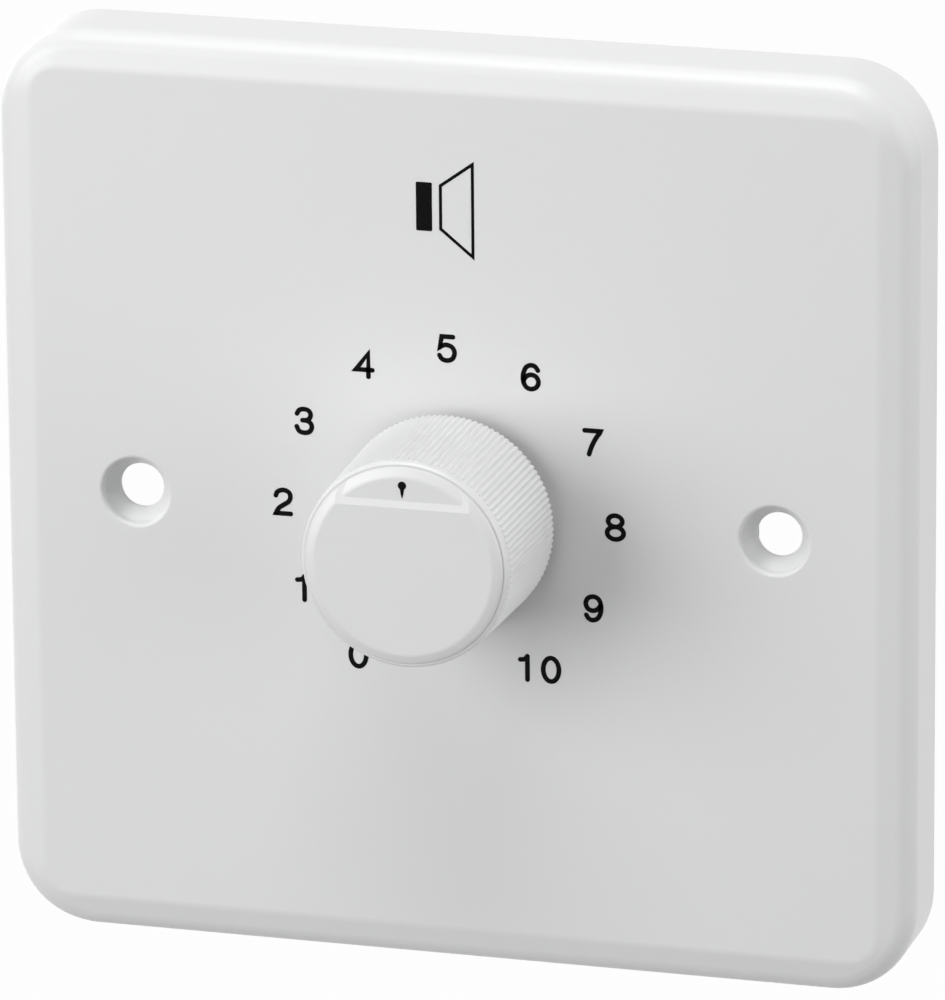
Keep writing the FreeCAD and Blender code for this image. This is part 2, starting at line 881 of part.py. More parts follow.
def circuit_board():
    slab = rounded_slab(board_width, board_height, board_corner, board_front_y, board_back_y)
    low, high = board_front_y - beyond, board_back_y + beyond
    holes = [rod(board_screw_radius + screw_hole_clearance, low, high, x, z)
             for x, z in board_screw_places()]
    holes += [rod(stud_radius + lead_hole_clearance, low, high, x, z)
              for x, z in stud_places() + [common_place()]]
    holes += [rod(transformer_pin_radius + lead_hole_clearance, low, high, x, z)
              for x, z in transformer_pin_places()]
    holes += [rod(tail_hole_radius(), low, high, x, tail_z()) for x in pole_places]
    half_x = frame_sheet / 2 + frame_slot_clearance
    half_z = frame_leg_width / 2 + frame_slot_clearance
    for side in (-1, 1):
        x = side * frame_leg_x
        holes += [block(x - half_x, x + half_x, low, high, z - half_z, z + half_z)
                  for z in frame_leg_places]
    return without(slab, holes)


def board_screws():
    screws = []
    for x, z in board_screw_places():
        head_back_y = board_back_y + board_head_height
        shank = rod(board_screw_radius, board_back_y - board_screw_length, board_back_y, x, z)
        head = rod(board_head_radius, board_back_y, head_back_y, x, z)
        screws.append(joined([shank, head]).cut(cross_recess(head_back_y, -1, x, z)))
    return Part.makeCompound(screws)


def solder_joints():
    joints = []
    for x, z in stud_places() + [common_place()]:
        cone = taper(stud_radius + solder_spread, stud_radius + solder_spread / 4,
                     board_back_y, board_back_y + solder_height, x, z)
        joints.append(cone.cut(rod(stud_radius, board_back_y - beyond, board_back_y + 2 * beyond, x, z)))
    front = board_front_y - solder_height
    for x, z in transformer_pin_places():
        cone = taper(transformer_pin_radius + solder_spread / 4, transformer_pin_radius + solder_spread,
                     front, board_front_y, x, z)
        joints.append(cone.cut(rod(transformer_pin_radius, front - beyond, board_front_y + beyond, x, z)))
    for x in pole_places:
        cone = taper(tail_hole_radius(), tail_hole_radius() + solder_spread, front, board_front_y,
                     x, tail_z())
        joints.append(cone.cut(terminal_tail(x)))
    for side in (-1, 1):
        for z in frame_leg_places:
            foot = frame_leg_width / 2 + solder_spread / 2
            cone = taper(foot, foot + solder_spread / 2, front, board_front_y, side * frame_leg_x, z)
            joints.append(cone.cut(frame_leg(side, z)))
    return Part.makeCompound(joints)


# Terminal block

def terminal_tail(x):
    z = tail_z()
    return block(x - tail_width / 2, x + tail_width / 2, board_front_y - front_stub, bar_back_y,
                 z - tail_thickness / 2, z + tail_thickness / 2)


def terminal_housing():
    half = poles * pole_pitch / 2 + terminal_end_margin
    case = block(-half, half, board_back_y, terminal_back_y, terminal_low_z, terminal_high_z)
    entry_front_y = board_back_y + wire_entry_floor
    rooms = []
    for x in pole_places:
        rooms.append(block(x - cavity_width / 2, x + cavity_width / 2, cavity_front_y, cavity_back_y,
                           cavity_low_z, cavity_high_z))
        rooms.append(block(x - wire_entry_width / 2, x + wire_entry_width / 2, entry_front_y,
                           entry_front_y + wire_entry_width, terminal_low_z - beyond,
                           cavity_low_z + beyond))
        rooms.append(rod(clamp_screw_radius + cage_side_clearance, cavity_back_y - beyond,
                         well_floor_y + beyond, x, cage_mid_z))
        rooms.append(rod(well_radius, well_floor_y, terminal_back_y + beyond, x, cage_mid_z))
        slot_half = bar_width / 2 + tail_clearance
        rooms.append(block(x - slot_half, x + slot_half, board_back_y - beyond, bar_back_y + tail_clearance,
                           cavity_high_z - beyond, tail_z() + tail_thickness / 2 + tail_clearance))
    return without(case, rooms)


def terminal_bars():
    bars = []
    for x in pole_places:
        bar = block(x - bar_width / 2, x + bar_width / 2, bar_front_y, bar_back_y,
                    cavity_low_z + bar_clearance, tail_z() + tail_thickness / 2)
        bars.append(joined([bar, terminal_tail(x)]))
    return Part.makeCompound(bars)


def terminal_cage(x):
    half = cavity_width / 2 - cage_side_clearance
    z0, z1 = cage_mid_z - cage_length / 2, cage_mid_z + cage_length / 2
    shell = block(x - half, x + half, cage_front_y, cage_back_y, z0, z1)
    window = block(x - half + cage_wall, x + half - cage_wall, cage_floor_y, cage_top_y,
                   z0 - beyond, z1 + beyond)
    thread = rod(clamp_screw_radius + clamp_thread_clearance, bar_back_y, cage_back_y + beyond,
                 x, cage_mid_z)
    return without(shell, [window, thread])


def terminal_screw(x):
    head_front_y = well_floor_y + clamp_head_clearance
    head_back_y = head_front_y + clamp_head_height
    shank = rod(clamp_screw_radius, bar_back_y + bar_clearance / 2, head_front_y, x, cage_mid_z)
    head = rod(clamp_head_radius, head_front_y, head_back_y, x, cage_mid_z)
    slot = block(x - clamp_head_radius - beyond, x + clamp_head_radius + beyond, head_back_y - slot_depth,
                 head_back_y + beyond, cage_mid_z - slot_width / 2, cage_mid_z + slot_width / 2)
    return joined([shank, head]).cut(slot)


# Autotransformer

def e_laminations():
    yoke = block(-core_width / 2, core_width / 2, stack_front_y, stack_back_y,
                 core_high_z - yoke_width, core_high_z)
    leg_low_z = core_low_z + yoke_width
    leg_high_z = core_high_z - yoke_width
    tongue = block(-tongue_width / 2, tongue_width / 2, stack_front_y, stack_back_y,
                   leg_low_z, leg_high_z)
    legs = [tongue]
    for side in (-1, 1):
        low, high = sorted((side * (core_width / 2 - yoke_width), side * core_width / 2))
        legs.append(block(low, high, stack_front_y, stack_back_y, leg_low_z, leg_high_z))
    return joined([yoke] + legs)


def i_laminations():
    return block(-core_width / 2, core_width / 2, stack_front_y, stack_back_y,
                 core_low_z, core_low_z + yoke_width)


def coil_ring(inner_gap, outer_x, outer_gap, z0, z1):
    middle_y = (stack_front_y + stack_back_y) / 2
    half_y = stack_height / 2
    inner_x = tongue_width / 2 + inner_gap
    inner = block(-inner_x, inner_x, stack_front_y - inner_gap, stack_back_y + inner_gap,
                  z0 - beyond, z1 + beyond)
    outer = block(-outer_x, outer_x, middle_y - half_y - outer_gap, middle_y + half_y + outer_gap,
                  z0, z1)
    upright = [edge for edge in outer.Edges if abs(edge.tangentAt(edge.FirstParameter).z) > 0.9]
    return outer.makeFillet(winding_corner, upright).cut(inner)


def transformer_bobbin():
    flange_x = tongue_width / 2 + window_width - window_clearance
    tube_gap = bobbin_clearance + bobbin_wall
    sleeve_x = tongue_width / 2 + tube_gap
    sleeve = block(-sleeve_x, sleeve_x, stack_front_y - tube_gap, stack_back_y + tube_gap,
                   coil_low_z, coil_high_z)
    pieces = [sleeve]
    for outer_z, side in ((coil_low_z, 1), (coil_high_z, -1)):
        low, high = sorted((outer_z, outer_z + side * flange_thickness))
        pieces.append(block(-flange_x, flange_x, flange_front_y, flange_back_y, low, high))
    for x0, x1, y0, y1, z0, z1 in rail_blocks():
        pieces.append(block(x0, x1, y0, y1, z0, z1))
    tongue_x = tongue_width / 2 + bobbin_clearance
    opening = block(-tongue_x, tongue_x, stack_front_y - bobbin_clearance, stack_back_y + bobbin_clearance,
                    coil_low_z - beyond, coil_high_z + beyond)
    return without(joined(pieces), [opening] + [transformer_pin(x, z) for x, z in transformer_pin_places()])


def rail_blocks():
    blocks = []
    half = rail_width / 2
    upper_y = board_back_y + rail_undercut
    top_y = board_back_y + rail_height
    for side, flange_z in ((-1, coil_low_z), (1, coil_high_z)):
        row_z = transformer_z + side * transformer_pin_spacing / 2
        foot = sorted((row_z - rail_foot / 2, row_z + rail_foot / 2))
        blocks.append((-half, half, board_back_y, top_y, foot[0], foot[1]))
        arm = sorted((row_z, flange_z - side * flange_thickness / 2))
        blocks.append((-half, half, upper_y, top_y, arm[0], arm[1]))
    return blocks


def transformer_winding():
    outer_x = tongue_width / 2 + window_width - window_clearance - winding_set_back - tape_thickness
    outer_gap = flange_overhang - winding_set_back - tape_thickness
    return coil_ring(bobbin_clearance + bobbin_wall, outer_x, outer_gap,
                     coil_low_z + flange_thickness, coil_high_z - flange_thickness)


def winding_tape():
    outer_x = tongue_width / 2 + window_width - window_clearance - winding_set_back
    outer_gap = flange_overhang - winding_set_back
    wrap = coil_ring(bobbin_clearance + bobbin_wall, outer_x, outer_gap,
                     coil_low_z + flange_thickness, coil_high_z - flange_thickness)
    inner_x = outer_x - tape_thickness
    inner = block(-inner_x, inner_x, stack_front_y - outer_gap + tape_thickness,
                  stack_back_y + outer_gap - tape_thickness, coil_low_z, coil_high_z)
    upright = [edge for edge in inner.Edges if abs(edge.tangentAt(edge.FirstParameter).z) > 0.9]
    return wrap.cut(inner.makeFillet(winding_corner, upright))


def transformer_pin(x, z):
    return rod(transformer_pin_radius, board_front_y - front_stub,
               board_back_y + transformer_pin_depth, x, z)


def transformer_pins():
    return Part.makeCompound([transformer_pin(x, z) for x, z in transformer_pin_places()])


def frame_leg(side, z):
    x = side * frame_leg_x
    return block(x - frame_sheet / 2, x + frame_sheet / 2, board_front_y - front_stub, stack_front_y,
                 z - frame_leg_width / 2, z + frame_leg_width / 2)


def transformer_frame():
    outer_x = core_width / 2 + frame_sheet
    low_z, high_z = core_low_z - frame_sheet, core_high_z + frame_sheet
    belt = block(-outer_x, outer_x, stack_front_y, stack_back_y, low_z, high_z)
    core = block(-core_width / 2, core_width / 2, stack_front_y - beyond, stack_back_y + beyond,
                 core_low_z, core_high_z)
    mouth_x = core_width / 2 - frame_lip
    mouth = block(-mouth_x, mouth_x, stack_front_y - beyond, stack_back_y + beyond,
                  low_z - beyond, core_low_z)
    legs = [frame_leg(side, z) for side in (-1, 1) for z in frame_leg_places]
    return joined([belt.cut([core, mouth])] + legs)


nodes = {
    "faceplate": face_plate,
    "knob_body": knob_body,
    "knob_cap": knob_cap,
    "knob_collet": knob_collet,
    "collet_nut": collet_nut,
    "bush_nut": bush_nut,
    "bush_washer": bush_washer,
    "mounting_bracket": bracket,
    "bracket_screws": bracket_screws,
    "switch_housing": switch_housing,
    "switch_spindle": spindle,
    "retaining_ring": retaining_ring,
    "detent_rotor": detent_rotor,
    "detent_springs": detent_springs,
    "detent_balls": detent_balls,
    "wiper_carrier": wiper_carrier,
    "wiper": wiper,
    "contact_plate": contact_plate,
    "contact_studs": contact_studs,
    "circuit_board": circuit_board,
    "board_screws": board_screws,
    "solder_joints": solder_joints,
    "terminal_housing": terminal_housing,
    "terminal_bars": terminal_bars,
    "e_laminations": e_laminations,
    "i_laminations": i_laminations,
    "transformer_bobbin": transformer_bobbin,
    "transformer_winding": transformer_winding,
    "winding_tape": winding_tape,
    "transformer_pins": transformer_pins,
    "transformer_frame": transformer_frame,
}

os.makedirs("parts", exist_ok=True)
for name, make in nodes.items():
    make().exportStep("parts/" + name + ".step")
for number, pole_x in enumerate(pole_places, start=1):
    terminal_screw(pole_x).exportStep("parts/terminal_screw_%d.step" % number)
    terminal_cage(pole_x).exportStep("parts/terminal_cage_%d.step" % number)
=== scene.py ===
import math

import bmesh
import bpy
from mathutils import Matrix, Vector


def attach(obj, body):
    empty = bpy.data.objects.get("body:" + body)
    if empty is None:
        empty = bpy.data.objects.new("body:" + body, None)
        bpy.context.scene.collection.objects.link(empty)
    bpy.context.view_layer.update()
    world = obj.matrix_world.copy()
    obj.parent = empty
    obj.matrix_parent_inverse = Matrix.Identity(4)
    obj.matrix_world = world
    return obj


MM = 0.001

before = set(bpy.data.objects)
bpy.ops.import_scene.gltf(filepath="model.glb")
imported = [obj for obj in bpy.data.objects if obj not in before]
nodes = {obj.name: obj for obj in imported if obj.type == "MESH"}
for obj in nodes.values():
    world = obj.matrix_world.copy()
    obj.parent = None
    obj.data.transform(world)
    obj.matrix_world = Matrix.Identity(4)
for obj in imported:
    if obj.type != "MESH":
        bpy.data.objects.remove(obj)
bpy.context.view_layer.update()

# Levels of the CAD model along y, in millimetres
PLATE_FRONT = -8.8
CAP_FLOOR = -24.55
BOARD_BACK = 12.4

# Camera of the photograph
CAMERA_AZIMUTH = 16.18
CAMERA_ELEVATION = 17.23
CAMERA_ROLL = -0.48
CAMERA_DISTANCE = 914.95
CAMERA_OFFSET = (-0.56, -1.07)
CAMERA_LENS = 360.0
CAMERA_SENSOR = 36.0

FLOOR_LEVEL = -1100.0
FLOOR_SIZE = 24000.0
FLOOR_GREY = 0.90
FLOOR_WHITE_SHARE = 0.98
AMBIENT_STRENGTH = 0.175

# Softboxes: azimuth and elevation in degrees, distance and side in metres, power in watts
SOFTBOXES = {
    "key_light": (-42.0, 12.0, 0.9, 0.70, 5.8),
    "fill_light": (60.0, 8.0, 0.8, 0.40, 0.6),
    "top_light": (-10.0, 76.0, 0.6, 0.35, 1.65),
    "side_light": (92.0, 10.0, 0.8, 0.80, 3.1),
    "crown_light": (180.0, 62.0, 0.8, 0.40, 0.95),
    "back_light": (-132.0, 8.0, 0.8, 0.40, 1.5),
}


# Shader helpers

class Shader:
    """One procedural material, built node by node."""

    def __init__(self, name):
        self.material = bpy.data.materials.new(name)
        self.material.use_nodes = True
        self.tree = self.material.node_tree
        self.bsdf = self.tree.nodes["Principled BSDF"]
        self.coordinates = self.tree.nodes.new("ShaderNodeTexCoord").outputs["Object"]

    def set(self, **values):
        for key, value in values.items():
            self.bsdf.inputs[key.replace("_", " ")].default_value = value

    def link(self, source, target):
        self.tree.links.new(source, target)

    def node(self, kind, **inputs):
        made = self.tree.nodes.new(kind)
        for key, value in inputs.items():
            socket = made.inputs[key.replace("_", " ")]
            if hasattr(value, "is_linked"):
                self.link(value, socket)
            else:
                socket.default_value = value
        return made

    def scaled(self, scale):
        mapping = self.node("ShaderNodeMapping", Vector=self.coordinates)
        mapping.inputs["Scale"].default_value = scale
        return mapping.outputs["Vector"]

    def noise(self, per_metre, stretch=(1, 1, 1), detail=3.0):
        vector = self.scaled([per_metre * s for s in stretch])
        made = self.node("ShaderNodeTexNoise", Vector=vector, Scale=1.0, Detail=detail, Roughness=0.55)
        return made.outputs["Fac"]

    def ramp(self, factor, low, high, start=0.3, end=0.7):
        made = self.node("ShaderNodeMapRange", Value=factor)
        made.inputs["From Min"].default_value = start
        made.inputs["From Max"].default_value = end
        made.inputs["To Min"].default_value = low
        made.inputs["To Max"].default_value = high
        return made.outputs["Result"]

    def blend(self, factor, first, second):
        made = self.tree.nodes.new("ShaderNodeMix")
        made.data_type = "RGBA"
        if hasattr(factor, "is_linked"):
            self.link(factor, made.inputs[0])
        else:
            made.inputs[0].default_value = factor
        for socket, value in ((made.inputs[6], first), (made.inputs[7], second)):
            if hasattr(value, "is_linked"):
                self.link(value, socket)
            else:
                socket.default_value = (*value, 1.0)
        return made.outputs[2]

    def bump(self, height, distance):
        made = self.node("ShaderNodeBump", Height=height, Strength=1.0, Distance=distance)
        self.link(made.outputs["Normal"], self.bsdf.inputs["Normal"])

    def colour(self, source):
        self.link(source, self.bsdf.inputs["Base Color"])

    def rough(self, source):
        self.link(source, self.bsdf.inputs["Roughness"])


POLISH_SPREAD = 0.04


def moulded(name, tint, shade, roughness, grain=0.000003):
    """Moulded plastic: faint cloudiness, an uneven polish and a fine surface ripple."""
    s = Shader(name)
    s.set(IOR=1.5)
    cloud = s.noise(60.0, detail=1.0)
    s.colour(s.blend(s.ramp(cloud, 0.0, 1.0, 0.1, 0.9), tint, shade))
    polish = s.noise(900.0, detail=2.0)
    s.rough(s.ramp(polish, roughness - POLISH_SPREAD, roughness + POLISH_SPREAD, 0.1, 0.9))
    s.bump(s.noise(3200.0, detail=2.0), grain)
    return s.material


def plated(name, tint, shade, roughness, metallic=1.0, stretch=(1, 1, 1), grain=0.000006, per_metre=1800.0):
    """Plated or bare metal: cloudy plating over a drawn or cast surface."""
    s = Shader(name)
    s.set(Metallic=metallic)
    cloud = s.noise(160.0, detail=4.0)
    s.colour(s.blend(s.ramp(cloud, 0.0, 1.0), tint, shade))
    surface = s.noise(per_metre, stretch, detail=4.0)
    s.rough(s.ramp(surface, roughness - 0.02, roughness + 0.03))
    s.bump(surface, grain)
    return s.material


def board_lacquer(name):
    """Green solder lacquer over woven glass laminate."""
    s = Shader(name)
    s.set(IOR=1.5)
    weave = s.node("ShaderNodeMath")
    weave.operation = "MULTIPLY"
    for index, direction in enumerate("XZ"):
        threads = s.node("ShaderNodeTexWave", Vector=s.scaled((900.0, 900.0, 900.0)), Scale=1.0, Distortion=0.6)
        threads.bands_direction = direction
        s.link(threads.outputs["Fac"], weave.inputs[index])
    s.colour(s.blend(s.ramp(weave.outputs[0], 0.0, 1.0, 0.0, 1.0), (0.012, 0.115, 0.045), (0.018, 0.150, 0.062)))
    s.rough(s.ramp(s.noise(500.0), 0.26, 0.40))
    s.bump(weave.outputs[0], 0.000008)
    return s.material


def wound(name):
    """Layered polyester tape: overlapping turns with a glossy, slightly wrinkled film."""
    s = Shader(name)
    s.set(IOR=1.55)
    wrinkle = s.noise(420.0, (1.0, 1.0, 0.25), detail=5.0)
    s.colour(s.blend(s.ramp(wrinkle, 0.0, 1.0), (0.72, 0.46, 0.045), (0.80, 0.55, 0.075)))
    s.rough(s.ramp(wrinkle, 0.18, 0.34))
    s.bump(wrinkle, 0.00009)
    return s.material


def copper_wire(name):
    """Enamelled wire laid turn beside turn, with painted shade darkening the colour into the groove between turns.
    """
    s = Shader(name)
    s.set(Metallic=0.9, Coat_Weight=0.6)
    turns = s.node("ShaderNodeTexWave", Vector=s.scaled((1.0, 1.0, 1600.0)), Scale=1.0)
    turns.bands_direction = "Z"
    # Painted shade: the colour follows the bump wave, dark copper in the grooves between turns and light copper on
    # the crests.
    s.colour(s.blend(turns.outputs["Fac"], (0.36, 0.10, 0.035), (0.62, 0.22, 0.08)))
    s.rough(s.ramp(s.noise(700.0), 0.22, 0.36))
    s.bump(turns.outputs["Fac"], 0.00006)
    return s.material


def printed_ink(name):
    """Matt black ink with a faint speckle."""
    s = Shader(name)
    s.set(IOR=1.48, Specular_IOR_Level=0.05)
    speck = s.noise(3200.0, detail=4.0)
    s.colour(s.blend(s.ramp(speck, 0.0, 1.0), (0.0018, 0.0018, 0.0020), (0.0042, 0.0042, 0.0045)))
    s.rough(s.ramp(speck, 0.38, 0.52))
    s.bump(speck, 0.000003)
    return s.material


WHITE = moulded("white_moulding", (0.800, 0.802, 0.804), (0.792, 0.794, 0.796), 0.34)
INK = printed_ink("printed_ink")
ZINC = plated("zinc_plating", (0.46, 0.475, 0.495), (0.395, 0.41, 0.435), 0.38, stretch=(1.0, 1.0, 0.12),
              grain=0.0000012)
SCREW = plated("screw_plating", (0.58, 0.60, 0.62), (0.46, 0.48, 0.50), 0.28, per_metre=2600.0)
NICKEL = plated("nickel_plating", (0.62, 0.60, 0.55), (0.54, 0.52, 0.47), 0.24, per_metre=2400.0)
DIE_CAST = plated("die_cast_zinc", (0.40, 0.41, 0.42), (0.32, 0.33, 0.34), 0.46, grain=0.00003, per_metre=900.0)
TURNED = plated("turned_steel", (0.56, 0.56, 0.56), (0.47, 0.47, 0.47), 0.25, stretch=(0.2, 3.0, 0.2))
SPRING = plated("drawn_wire", (0.34, 0.34, 0.35), (0.26, 0.26, 0.27), 0.32)
BALL = plated("polished_steel", (0.66, 0.66, 0.67), (0.60, 0.60, 0.61), 0.12, grain=0.000001)
BRASS = plated("stamped_brass", (0.66, 0.46, 0.19), (0.56, 0.38, 0.14), 0.28)
TINNED = plated("tinned_brass", (0.62, 0.61, 0.57), (0.52, 0.51, 0.47), 0.30)
SOLDER = plated("wetted_solder", (0.62, 0.63, 0.64), (0.48, 0.49, 0.50), 0.22, grain=0.00002, per_metre=1300.0)
CORE = plated("core_sheet", (0.105, 0.105, 0.115), (0.070, 0.072, 0.082), 0.42, stretch=(0.15, 1.0, 1.0))
ACETAL = moulded("natural_acetal", (0.74, 0.72, 0.64), (0.70, 0.68, 0.60), 0.42)
PHENOLIC = moulded("paper_laminate", (0.23, 0.105, 0.040), (0.17, 0.075, 0.028), 0.45, grain=0.00001)
NYLON = moulded("black_nylon", (0.012, 0.012, 0.013), (0.020, 0.020, 0.021), 0.42, grain=0.000012)
GREEN = moulded("green_moulding", (0.012, 0.190, 0.070), (0.010, 0.165, 0.060), 0.36)
LACQUER = board_lacquer("board_lacquer")
TAPE = wound("winding_tape")
COPPER = copper_wire("enamelled_copper")
TRACK = moulded("lacquered_track", (0.030, 0.235, 0.090), (0.036, 0.260, 0.104), 0.28)

FINISHES = {
    "faceplate": WHITE,
    "knob_body": WHITE,
    "knob_cap": WHITE,
    "knob_collet": BRASS,
    "collet_nut": BRASS,
    "bush_nut": NICKEL,
    "bush_washer": NICKEL,
    "mounting_bracket": ZINC,
    "bracket_screws": SCREW,
    "switch_housing": DIE_CAST,
    "switch_spindle": TURNED,
    "retaining_ring": SPRING,
    "detent_rotor": ACETAL,
    "detent_springs": SPRING,
    "detent_balls": BALL,
    "wiper_carrier": ACETAL,
    "wiper": BRASS,
    "contact_plate": PHENOLIC,
    "contact_studs": TINNED,
    "circuit_board": LACQUER,
    "board_screws": SCREW,
    "solder_joints": SOLDER,
    "terminal_housing": GREEN,
    "terminal_bars": TINNED,
    "e_laminations": CORE,
    "i_laminations": CORE,
    "transformer_bobbin": NYLON,
    "transformer_winding": COPPER,
    "winding_tape": TAPE,
    "transformer_pins": TINNED,
    "transformer_frame": ZINC,
}
for number in range(1, 5):
    FINISHES["terminal_screw_%d" % number] = SCREW
    FINISHES["terminal_cage_%d" % number] = NICKEL

for name, finish in FINISHES.items():
    nodes[name].data.materials[0] = finish


# Printed marks, drawn as ribbons of ink with round ends

INK_HEIGHT = 0.02
LAYER = 0.004
STROKE = 0.45
FINE_STROKE = 0.29
CAP_STEPS = 8
CURVE_STEPS = 8
ELLIPSE_STEPS = 40
CORNER_STEPS = 5


def smooth(points):
    """Points along a Catmull-Rom curve through the given ones."""
    padded = [points[0]] + points + [points[-1]]
    found = []
    for a, b, c, d in zip(padded, padded[1:], padded[2:], padded[3:]):
        for index in range(CURVE_STEPS):
            t = index / CURVE_STEPS
            found.append(tuple(
                0.5 * (2 * q + (r - p) * t + (2 * p - 5 * q + 4 * r - s) * t * t
                       + (3 * q - p - 3 * r + s) * t ** 3)
                for p, q, r, s in zip(a, b, c, d)
            ))
    return found + [points[-1]]


def ellipse(x, z, rx, rz):
    turns = [2 * math.pi * index / ELLIPSE_STEPS for index in range(ELLIPSE_STEPS + 1)]
    return [(x + rx * math.sin(t), z + rz * math.cos(t)) for t in turns]


SIX = smooth([
    (0.66, 0.66), (0.42, 1.00), (0.02, 1.12), (-0.45, 0.88), (-0.71, 0.25), (-0.70, -0.45), (-0.45, -0.95),
    (0.02, -1.12), (0.50, -0.93), (0.71, -0.45), (0.50, 0.05), (0.02, 0.22), (-0.42, 0.04), (-0.68, -0.32),
])
GLYPHS = {
    "0": [ellipse(0.0, 0.0, 0.74, 1.12)],
    "1": [[(0.31, -1.12), (0.31, 1.12)], smooth([(-0.36, 0.76), (-0.05, 0.80), (0.18, 0.92), (0.31, 1.12)])],
    "2": [smooth([
        (-0.70, 0.56), (-0.52, 0.93), (0.02, 1.12), (0.53, 0.93), (0.69, 0.50), (0.50, 0.04), (0.05, -0.28),
        (-0.45, -0.66), (-0.70, -1.12),
    ]) + [(0.70, -1.12)]],
    "3": [
        smooth([(-0.68, 0.66), (-0.45, 1.01), (0.00, 1.12), (0.45, 0.98), (0.62, 0.58), (0.42, 0.18), (0.08, 0.06)]),
        smooth([(-0.16, 0.06), (0.22, 0.04), (0.58, -0.16), (0.72, -0.55), (0.50, -0.98), (0.00, -1.12),
                (-0.48, -0.98), (-0.71, -0.56)]),
    ],
    "4": [[(0.40, -1.10), (0.40, 1.08), (-0.78, -0.46), (0.78, -0.46)]],
    "5": [[(0.56, 1.12), (-0.50, 1.12)] + smooth([
        (-0.67, 0.10), (-0.38, 0.28), (0.02, 0.34), (0.50, 0.13), (0.70, -0.38), (0.50, -0.92), (0.00, -1.12),
        (-0.48, -1.00), (-0.72, -0.66),
    ])],
    "6": [SIX],
    "7": [[(-0.74, 1.12), (0.74, 1.12)] + smooth([(0.66, 0.94), (0.30, 0.42), (-0.08, -0.34), (-0.33, -1.10)])],
    "8": [ellipse(-0.01, 0.59, 0.66, 0.53), ellipse(0.0, -0.53, 0.77, 0.59)],
    "9": [[(-x, -z) for x, z in SIX]],
}


def ribbon(mesh, points, width, level, base):
    """Adds a flat stroke with round ends and a low edge to the mesh. A path that ends where it starts is closed."""
    half = width / 2
    closed = math.dist(points[0], points[-1]) < 1e-6
    path = [Vector(p) for p in (points[:-1] if closed else points)]
    count = len(path)
    left, right = [], []
    for index, point in enumerate(path):
        before = path[index - 1] if index or closed else point
        after = path[(index + 1) % count] if index < count - 1 or closed else point
        a = (point - before).normalized() if before != point else (after - point).normalized()
        b = (after - point).normalized() if after != point else a
        normal = Vector((-(a + b).y, (a + b).x)).normalized()
        reach = half / max(0.45, normal.dot(Vector((-a.y, a.x))))
        left.append(point + normal * reach)
        right.append(point - normal * reach)

    def cap(centre, along):
        start = math.atan2(along.y, along.x) + math.pi / 2
        turns = [start - math.pi * k / CAP_STEPS for k in range(1, CAP_STEPS)]
        return [centre + half * Vector((math.cos(turn), math.sin(turn))) for turn in turns]

    def vertex(point):
        return mesh.verts.new((point.x * MM, level * MM, point.y * MM))

    if closed:
        inner = [vertex(p) for p in right]
        outer = [vertex(p) for p in left]
        for index in range(count):
            following = (index + 1) % count
            mesh.faces.new((inner[index], outer[index], outer[following], inner[following]))
        tops = [outer, inner]
    else:
        a = [vertex(p) for p in left]
        b = [vertex(p) for p in right]
        end_ring = [vertex(p) for p in cap(path[-1], path[-1] - path[-2])]
        start_ring = [vertex(p) for p in cap(path[0], path[0] - path[1])]
        for index in range(count - 1):
            mesh.faces.new((b[index], a[index], a[index + 1], b[index + 1]))
        mesh.faces.new([a[-1]] + end_ring + [b[-1]])
        mesh.faces.new([b[0]] + start_ring + [a[0]])
        tops = [a + end_ring + list(reversed(b)) + start_ring]
    for ring in tops:
        low = [mesh.verts.new((v.co.x, base * MM, v.co.z)) for v in ring]
        for index in range(len(ring)):
            following = (index + 1) % len(ring)
            mesh.faces.new((ring[index], low[index], low[following], ring[following]))


def panel(mesh, outline, level, base):
    """Adds a flat filled outline with a low edge to the mesh."""
    top = [mesh.verts.new((x * MM, level * MM, z * MM)) for x, z in outline]
    low = [mesh.verts.new((x * MM, base * MM, z * MM)) for x, z in outline]
    mesh.faces.new(top)
    for index in range(len(top)):
        following = (index + 1) % len(top)
        mesh.faces.new((top[index], low[index], low[following], top[following]))


def piece(name, mesh, material, body):
    """Turns the mesh into a named piece that rides a body and takes a material slot."""
    bmesh.ops.recalc_face_normals(mesh, faces=mesh.faces)
    data = bpy.data.meshes.new(name)
    mesh.to_mesh(data)
    mesh.free()
    data.materials.append(material)
    made = bpy.data.objects.new(name, data)
    bpy.context.scene.collection.objects.link(made)
    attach(made, body)
    return made


def rounded_box(x0, x1, z0, z1, radius):
    """Outline of a box with round corners."""
    outline = []
    for cx, cz, start in ((x1 - radius, z1 - radius, 0), (x1 - radius, z0 + radius, 90),
                          (x0 + radius, z0 + radius, 180), (x0 + radius, z1 - radius, 270)):
        for index in range(CORNER_STEPS + 1):
            turn = math.radians(start + 90 * index / CORNER_STEPS)
            outline.append((cx + radius * math.sin(turn), cz + radius * math.cos(turn)))
    return outline


DIAL_CENTRE = (-0.31, 0.12)
DIAL_RADIUS = 15.68
NUDGES = {0: (-0.85, -0.50), 1: (-0.50, -0.27), 10: (0.46, -0.45)}
DIGIT_PITCH = 1.27
DIAL_STEP = 30
DIAL_START = -150


def write(mesh, text, x, z, level, base):
    """Adds a number centred on a place of the dial. Strokes that cross lie in layers of their own."""
    start = -(len(text) - 1) * DIGIT_PITCH
    for index, digit in enumerate(text):
        shift = start + 2 * DIGIT_PITCH * index
        for layer, path in enumerate(GLYPHS[digit]):
            ribbon(mesh, [(x + shift + px, z + pz) for px, pz in path], STROKE, level - LAYER * layer, base)


